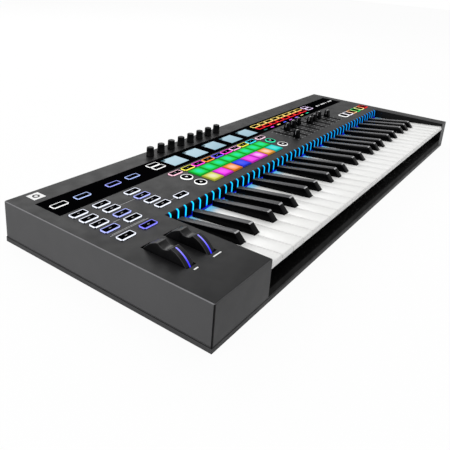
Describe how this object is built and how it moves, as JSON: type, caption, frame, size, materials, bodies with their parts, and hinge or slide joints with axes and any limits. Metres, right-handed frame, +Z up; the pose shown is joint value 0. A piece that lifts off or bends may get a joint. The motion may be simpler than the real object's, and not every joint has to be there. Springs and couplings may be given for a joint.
{
  "type": "midi keyboard",
  "caption": "Keyboard controller with full-size piano keys, two thumb wheels, knobs, faders, lit pads, lit buttons and colour screens, in a low black case.",
  "frame": {"origin": "middle of the base, on the plane the feet stand on", "axes": "+X to the player's right along the keys, +Y to the back, +Z up"},
  "size_m": [0.806, 0.3005, 0.0659],
  "materials": {
    "case_plastic": "fine-textured satin",
    "tray_plastic": "satin",
    "rail_plastic": "satin, finely ribbed",
    "strip_glass": "polished black",
    "key_white": "semi-gloss",
    "key_black": "semi-gloss",
    "light_pipe": "clear, lit cyan to blue",
    "screen": "lit colour screen",
    "pad_rubber": "translucent silicone, lit",
    "button_rubber": "satin, lit edge",
    "control_black": "satin",
    "wheel_black": "satin",
    "frame_plastic": "moulded",
    "board": "solder mask",
    "felt": "felt",
    "spring_steel": "bright",
    "socket_black": "moulded",
    "foot_rubber": "matt",
    "screw_steel": "black zinc"
  },
  "bodies": {
    "chassis": {"bottom_tray": "tray_plastic", "top_case": "case_plastic", "front_rail": "tray_plastic", "control_glass": "strip_glass", "key_frame": "frame_plastic", "key_felt": "felt", "key_contact_board": "board", "key_springs": "spring_steel", "light_pipes": "light_pipe", "light_rail": "rail_plastic", "main_board": "board", "panel_board": "board", "fader_units": "spring_steel", "encoder_units": "spring_steel", "display_modules": "screen", "pad_sensor_board": "board", "wheel_bracket": "frame_plastic", "wheel_pots": "board", "rear_sockets": "socket_black", "feet": "foot_rubber", "case_screws": "screw_steel"},
    "keys_c": {"keys_c": "key_white"},
    "keys_d": {"keys_d": "key_white"},
    "keys_e": {"keys_e": "key_white"},
    "keys_f": {"keys_f": "key_white"},
    "keys_g": {"keys_g": "key_white"},
    "keys_a": {"keys_a": "key_white"},
    "keys_b": {"keys_b": "key_white"},
    "key_top_c": {"key_top_c": "key_white"},
    "keys_c_sharp": {"keys_c_sharp": "key_black"},
    "keys_d_sharp": {"keys_d_sharp": "key_black"},
    "keys_f_sharp": {"keys_f_sharp": "key_black"},
    "keys_g_sharp": {"keys_g_sharp": "key_black"},
    "keys_a_sharp": {"keys_a_sharp": "key_black"},
    "knob_1": {"knob_1": "control_black"},
    "knob_2": {"knob_2": "control_black"},
    "knob_3": {"knob_3": "control_black"},
    "knob_4": {"knob_4": "control_black"},
    "knob_5": {"knob_5": "control_black"},
    "knob_6": {"knob_6": "control_black"},
    "knob_7": {"knob_7": "control_black"},
    "knob_8": {"knob_8": "control_black"},
    "fader_cap_1": {"fader_cap_1": "control_black"},
    "fader_cap_2": {"fader_cap_2": "control_black"},
    "fader_cap_3": {"fader_cap_3": "control_black"},
    "fader_cap_4": {"fader_cap_4": "control_black"},
    "fader_cap_5": {"fader_cap_5": "control_black"},
    "fader_cap_6": {"fader_cap_6": "control_black"},
    "fader_cap_7": {"fader_cap_7": "control_black"},
    "fader_cap_8": {"fader_cap_8": "control_black"},
    "pitch_wheel": {"pitch_wheel": "wheel_black"},
    "mod_wheel": {"mod_wheel": "wheel_black"},
    "pads_front": {"pads_front": "pad_rubber"},
    "pads_back": {"pads_back": "pad_rubber"},
    "grid_buttons": {"grid_buttons": "button_rubber"},
    "strip_buttons": {"strip_buttons": "button_rubber"},
    "soft_buttons": {"soft_buttons": "button_rubber"},
    "transport_buttons": {"transport_buttons": "button_rubber"},
    "round_buttons": {"round_buttons": "button_rubber"},
    "power_button": {"power_button": "button_rubber"}
  },
  "joints": [
    {"name": "keys_c_press", "type": "hinge", "parent": "chassis", "child": "keys_c", "pos_m": [0, 0.0005, 0.02195], "axis": [1, 0, 0], "range_deg": [0, 3.8], "stiffness_Nm_per_rad": 2.4, "springref_deg": -12.61},
    {"name": "keys_d_press", "type": "hinge", "parent": "chassis", "child": "keys_d", "pos_m": [0, 0.0005, 0.02195], "axis": [1, 0, 0], "range_deg": [0, 3.8], "stiffness_Nm_per_rad": 2.4, "springref_deg": -12.61},
    {"name": "keys_e_press", "type": "hinge", "parent": "chassis", "child": "keys_e", "pos_m": [0, 0.0005, 0.02195], "axis": [1, 0, 0], "range_deg": [0, 3.8], "stiffness_Nm_per_rad": 2.4, "springref_deg": -12.61},
    {"name": "keys_f_press", "type": "hinge", "parent": "chassis", "child": "keys_f", "pos_m": [0, 0.0005, 0.02195], "axis": [1, 0, 0], "range_deg": [0, 3.8], "stiffness_Nm_per_rad": 2.4, "springref_deg": -12.61},
    {"name": "keys_g_press", "type": "hinge", "parent": "chassis", "child": "keys_g", "pos_m": [0, 0.0005, 0.02195], "axis": [1, 0, 0], "range_deg": [0, 3.8], "stiffness_Nm_per_rad": 2.4, "springref_deg": -12.61},
    {"name": "keys_a_press", "type": "hinge", "parent": "chassis", "child": "keys_a", "pos_m": [0, 0.0005, 0.02195], "axis": [1, 0, 0], "range_deg": [0, 3.8], "stiffness_Nm_per_rad": 2.4, "springref_deg": -12.61},
    {"name": "keys_b_press", "type": "hinge", "parent": "chassis", "child": "keys_b", "pos_m": [0, 0.0005, 0.02195], "axis": [1, 0, 0], "range_deg": [0, 3.8], "stiffness_Nm_per_rad": 2.4, "springref_deg": -12.61},
    {"name": "key_top_c_press", "type": "hinge", "parent": "chassis", "child": "key_top_c", "pos_m": [0, 0.0005, 0.02195], "axis": [1, 0, 0], "range_deg": [0, 3.8], "stiffness_Nm_per_rad": 0.6, "springref_deg": -12.61},
    {"name": "keys_c_sharp_press", "type": "hinge", "parent": "chassis", "child": "keys_c_sharp", "pos_m": [0, 0.0005, 0.02195], "axis": [1, 0, 0], "range_deg": [0, 3.8], "stiffness_Nm_per_rad": 2.4, "springref_deg": -12.61},
    {"name": "keys_d_sharp_press", "type": "hinge", "parent": "chassis", "child": "keys_d_sharp", "pos_m": [0, 0.0005, 0.02195], "axis": [1, 0, 0], "range_deg": [0, 3.8], "stiffness_Nm_per_rad": 2.4, "springref_deg": -12.61},
    {"name": "keys_f_sharp_press", "type": "hinge", "parent": "chassis", "child": "keys_f_sharp", "pos_m": [0, 0.0005, 0.02195], "axis": [1, 0, 0], "range_deg": [0, 3.8], "stiffness_Nm_per_rad": 2.4, "springref_deg": -12.61},
    {"name": "keys_g_sharp_press", "type": "hinge", "parent": "chassis", "child": "keys_g_sharp", "pos_m": [0, 0.0005, 0.02195], "axis": [1, 0, 0], "range_deg": [0, 3.8], "stiffness_Nm_per_rad": 2.4, "springref_deg": -12.61},
    {"name": "keys_a_sharp_press", "type": "hinge", "parent": "chassis", "child": "keys_a_sharp", "pos_m": [0, 0.0005, 0.02195], "axis": [1, 0, 0], "range_deg": [0, 3.8], "stiffness_Nm_per_rad": 2.4, "springref_deg": -12.61},
    {"name": "knob_1_turn", "type": "hinge", "parent": "chassis", "child": "knob_1", "pos_m": [-0.17575, 0.1335, 0.06], "axis": [0, 0, 1], "continuous": true},
    {"name": "knob_2_turn", "type": "hinge", "parent": "chassis", "child": "knob_2", "pos_m": [-0.15226, 0.1335, 0.06], "axis": [0, 0, 1], "continuous": true},
    {"name": "knob_3_turn", "type": "hinge", "parent": "chassis", "child": "knob_3", "pos_m": [-0.12876, 0.1335, 0.06], "axis": [0, 0, 1], "continuous": true},
    {"name": "knob_4_turn", "type": "hinge", "parent": "chassis", "child": "knob_4", "pos_m": [-0.10526, 0.1335, 0.06], "axis": [0, 0, 1], "continuous": true},
    {"name": "knob_5_turn", "type": "hinge", "parent": "chassis", "child": "knob_5", "pos_m": [-0.08175, 0.1335, 0.06], "axis": [0, 0, 1], "continuous": true},
    {"name": "knob_6_turn", "type": "hinge", "parent": "chassis", "child": "knob_6", "pos_m": [-0.05826, 0.1335, 0.06], "axis": [0, 0, 1], "continuous": true},
    {"name": "knob_7_turn", "type": "hinge", "parent": "chassis", "child": "knob_7", "pos_m": [-0.03476, 0.1335, 0.06], "axis": [0, 0, 1], "continuous": true},
    {"name": "knob_8_turn", "type": "hinge", "parent": "chassis", "child": "knob_8", "pos_m": [-0.01125, 0.1335, 0.06], "axis": [0, 0, 1], "continuous": true},
    {"name": "fader_cap_1_slide", "type": "slide", "parent": "chassis", "child": "fader_cap_1", "axis": [0, 1, 0], "range_m": [-0.0067, 0.0427]},
    {"name": "fader_cap_2_slide", "type": "slide", "parent": "chassis", "child": "fader_cap_2", "axis": [0, 1, 0], "range_m": [-0.0387, 0.0107]},
    {"name": "fader_cap_3_slide", "type": "slide", "parent": "chassis", "child": "fader_cap_3", "axis": [0, 1, 0], "range_m": [-0.0402, 0.0092]},
    {"name": "fader_cap_4_slide", "type": "slide", "parent": "chassis", "child": "fader_cap_4", "axis": [0, 1, 0], "range_m": [-0.0417, 0.0077]},
    {"name": "fader_cap_5_slide", "type": "slide", "parent": "chassis", "child": "fader_cap_5", "axis": [0, 1, 0], "range_m": [-0.0292, 0.0202]},
    {"name": "fader_cap_6_slide", "type": "slide", "parent": "chassis", "child": "fader_cap_6", "axis": [0, 1, 0], "range_m": [-0.0327, 0.0167]},
    {"name": "fader_cap_7_slide", "type": "slide", "parent": "chassis", "child": "fader_cap_7", "axis": [0, 1, 0], "range_m": [-0.0342, 0.0152]},
    {"name": "fader_cap_8_slide", "type": "slide", "parent": "chassis", "child": "fader_cap_8", "axis": [0, 1, 0], "range_m": [-0.0272, 0.0222]},
    {"name": "pitch_wheel_turn", "type": "hinge", "parent": "chassis", "child": "pitch_wheel", "pos_m": [-0.369, -0.0673, 0.0328], "axis": [1, 0, 0], "range_deg": [-30, 30], "stiffness_Nm_per_rad": 0.12},
    {"name": "mod_wheel_turn", "type": "hinge", "parent": "chassis", "child": "mod_wheel", "pos_m": [-0.335, -0.0673, 0.0328], "axis": [1, 0, 0], "range_deg": [-30, 30]},
    {"name": "pads_front_press", "type": "slide", "parent": "chassis", "child": "pads_front", "axis": [0, 0, -1], "range_m": [0, 0.001], "stiffness_N_per_m": 3000, "springref_m": -0.0008},
    {"name": "pads_back_press", "type": "slide", "parent": "chassis", "child": "pads_back", "axis": [0, 0, -1], "range_m": [0, 0.001], "stiffness_N_per_m": 3000, "springref_m": -0.0008},
    {"name": "grid_buttons_press", "type": "slide", "parent": "chassis", "child": "grid_buttons", "axis": [0, 0, -1], "range_m": [0, 0.001], "stiffness_N_per_m": 2000, "springref_m": -0.0008},
    {"name": "strip_buttons_press", "type": "slide", "parent": "chassis", "child": "strip_buttons", "axis": [0, 0, -1], "range_m": [0, 0.001], "stiffness_N_per_m": 2000, "springref_m": -0.0008},
    {"name": "soft_buttons_press", "type": "slide", "parent": "chassis", "child": "soft_buttons", "axis": [0, 0, -1], "range_m": [0, 0.001], "stiffness_N_per_m": 2000, "springref_m": -0.0008},
    {"name": "transport_buttons_press", "type": "slide", "parent": "chassis", "child": "transport_buttons", "axis": [0, 0, -1], "range_m": [0, 0.001], "stiffness_N_per_m": 2000, "springref_m": -0.0008},
    {"name": "round_buttons_press", "type": "slide", "parent": "chassis", "child": "round_buttons", "axis": [0, 0, -1], "range_m": [0, 0.001], "stiffness_N_per_m": 2000, "springref_m": -0.0008},
    {"name": "power_button_press", "type": "slide", "parent": "chassis", "child": "power_button", "axis": [0, -1, 0], "range_m": [0, 0.001], "stiffness_N_per_m": 400, "springref_m": -0.0008}
  ]
}
